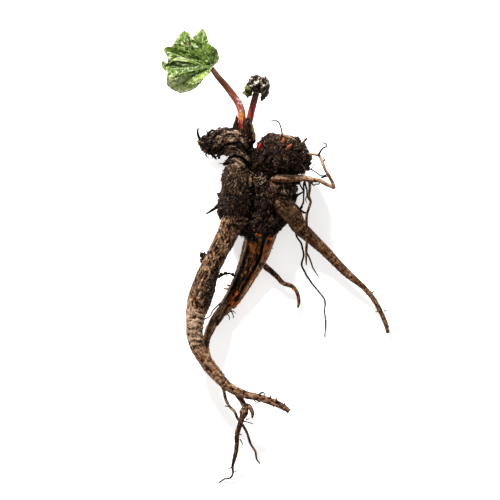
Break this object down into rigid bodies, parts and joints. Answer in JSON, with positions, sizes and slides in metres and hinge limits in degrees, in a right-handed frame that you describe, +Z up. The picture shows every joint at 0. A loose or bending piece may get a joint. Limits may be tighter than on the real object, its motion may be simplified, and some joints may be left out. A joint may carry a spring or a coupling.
{
  "type": "rhubarb root",
  "caption": "Young rhubarb crown dug up whole: knobbly soil-caked rootstock, fleshy storage roots, fibrous roots, red leaf stalks and crumpled green leaves, lying on a surface.",
  "frame": {"origin": "on the resting surface, under the middle of the plant's bounding box", "axes": "+Y from the root tips towards the leaves, +X to the right as seen from above, +Z up from the resting surface"},
  "size_m": [0.2284, 0.4565, 0.0737],
  "materials": {
    "root_bark": "matt wrinkled bark, damp soil in its creases",
    "stalk_red": "smooth moist plant skin, satin",
    "leaf_green": "waxy leaf, satin",
    "young_leaf": "crumpled young leaf, satin",
    "bud_scale": "papery brown sheath",
    "bud_red": "smooth moist bud, satin",
    "soil": "damp crumbly soil"
  },
  "bodies": {
    "root": {"rootstock": "root_bark", "open_leaf_stalk": "stalk_red", "open_leaf_blade": "leaf_green", "young_leaf_stalk": "stalk_red", "young_leaf_blade": "young_leaf", "bud_scale_spike": "bud_scale", "bud_scale_dark": "bud_scale", "bud_scale_ochre": "bud_scale", "bud_neck": "bud_red", "bud_knob_upper": "bud_red", "bud_knob_lower": "bud_red", "soil_crevice": "soil", "soil_knob_crust": "soil", "soil_left_clod": "soil", "soil_bridge": "soil"}
  },
  "joints": []
}
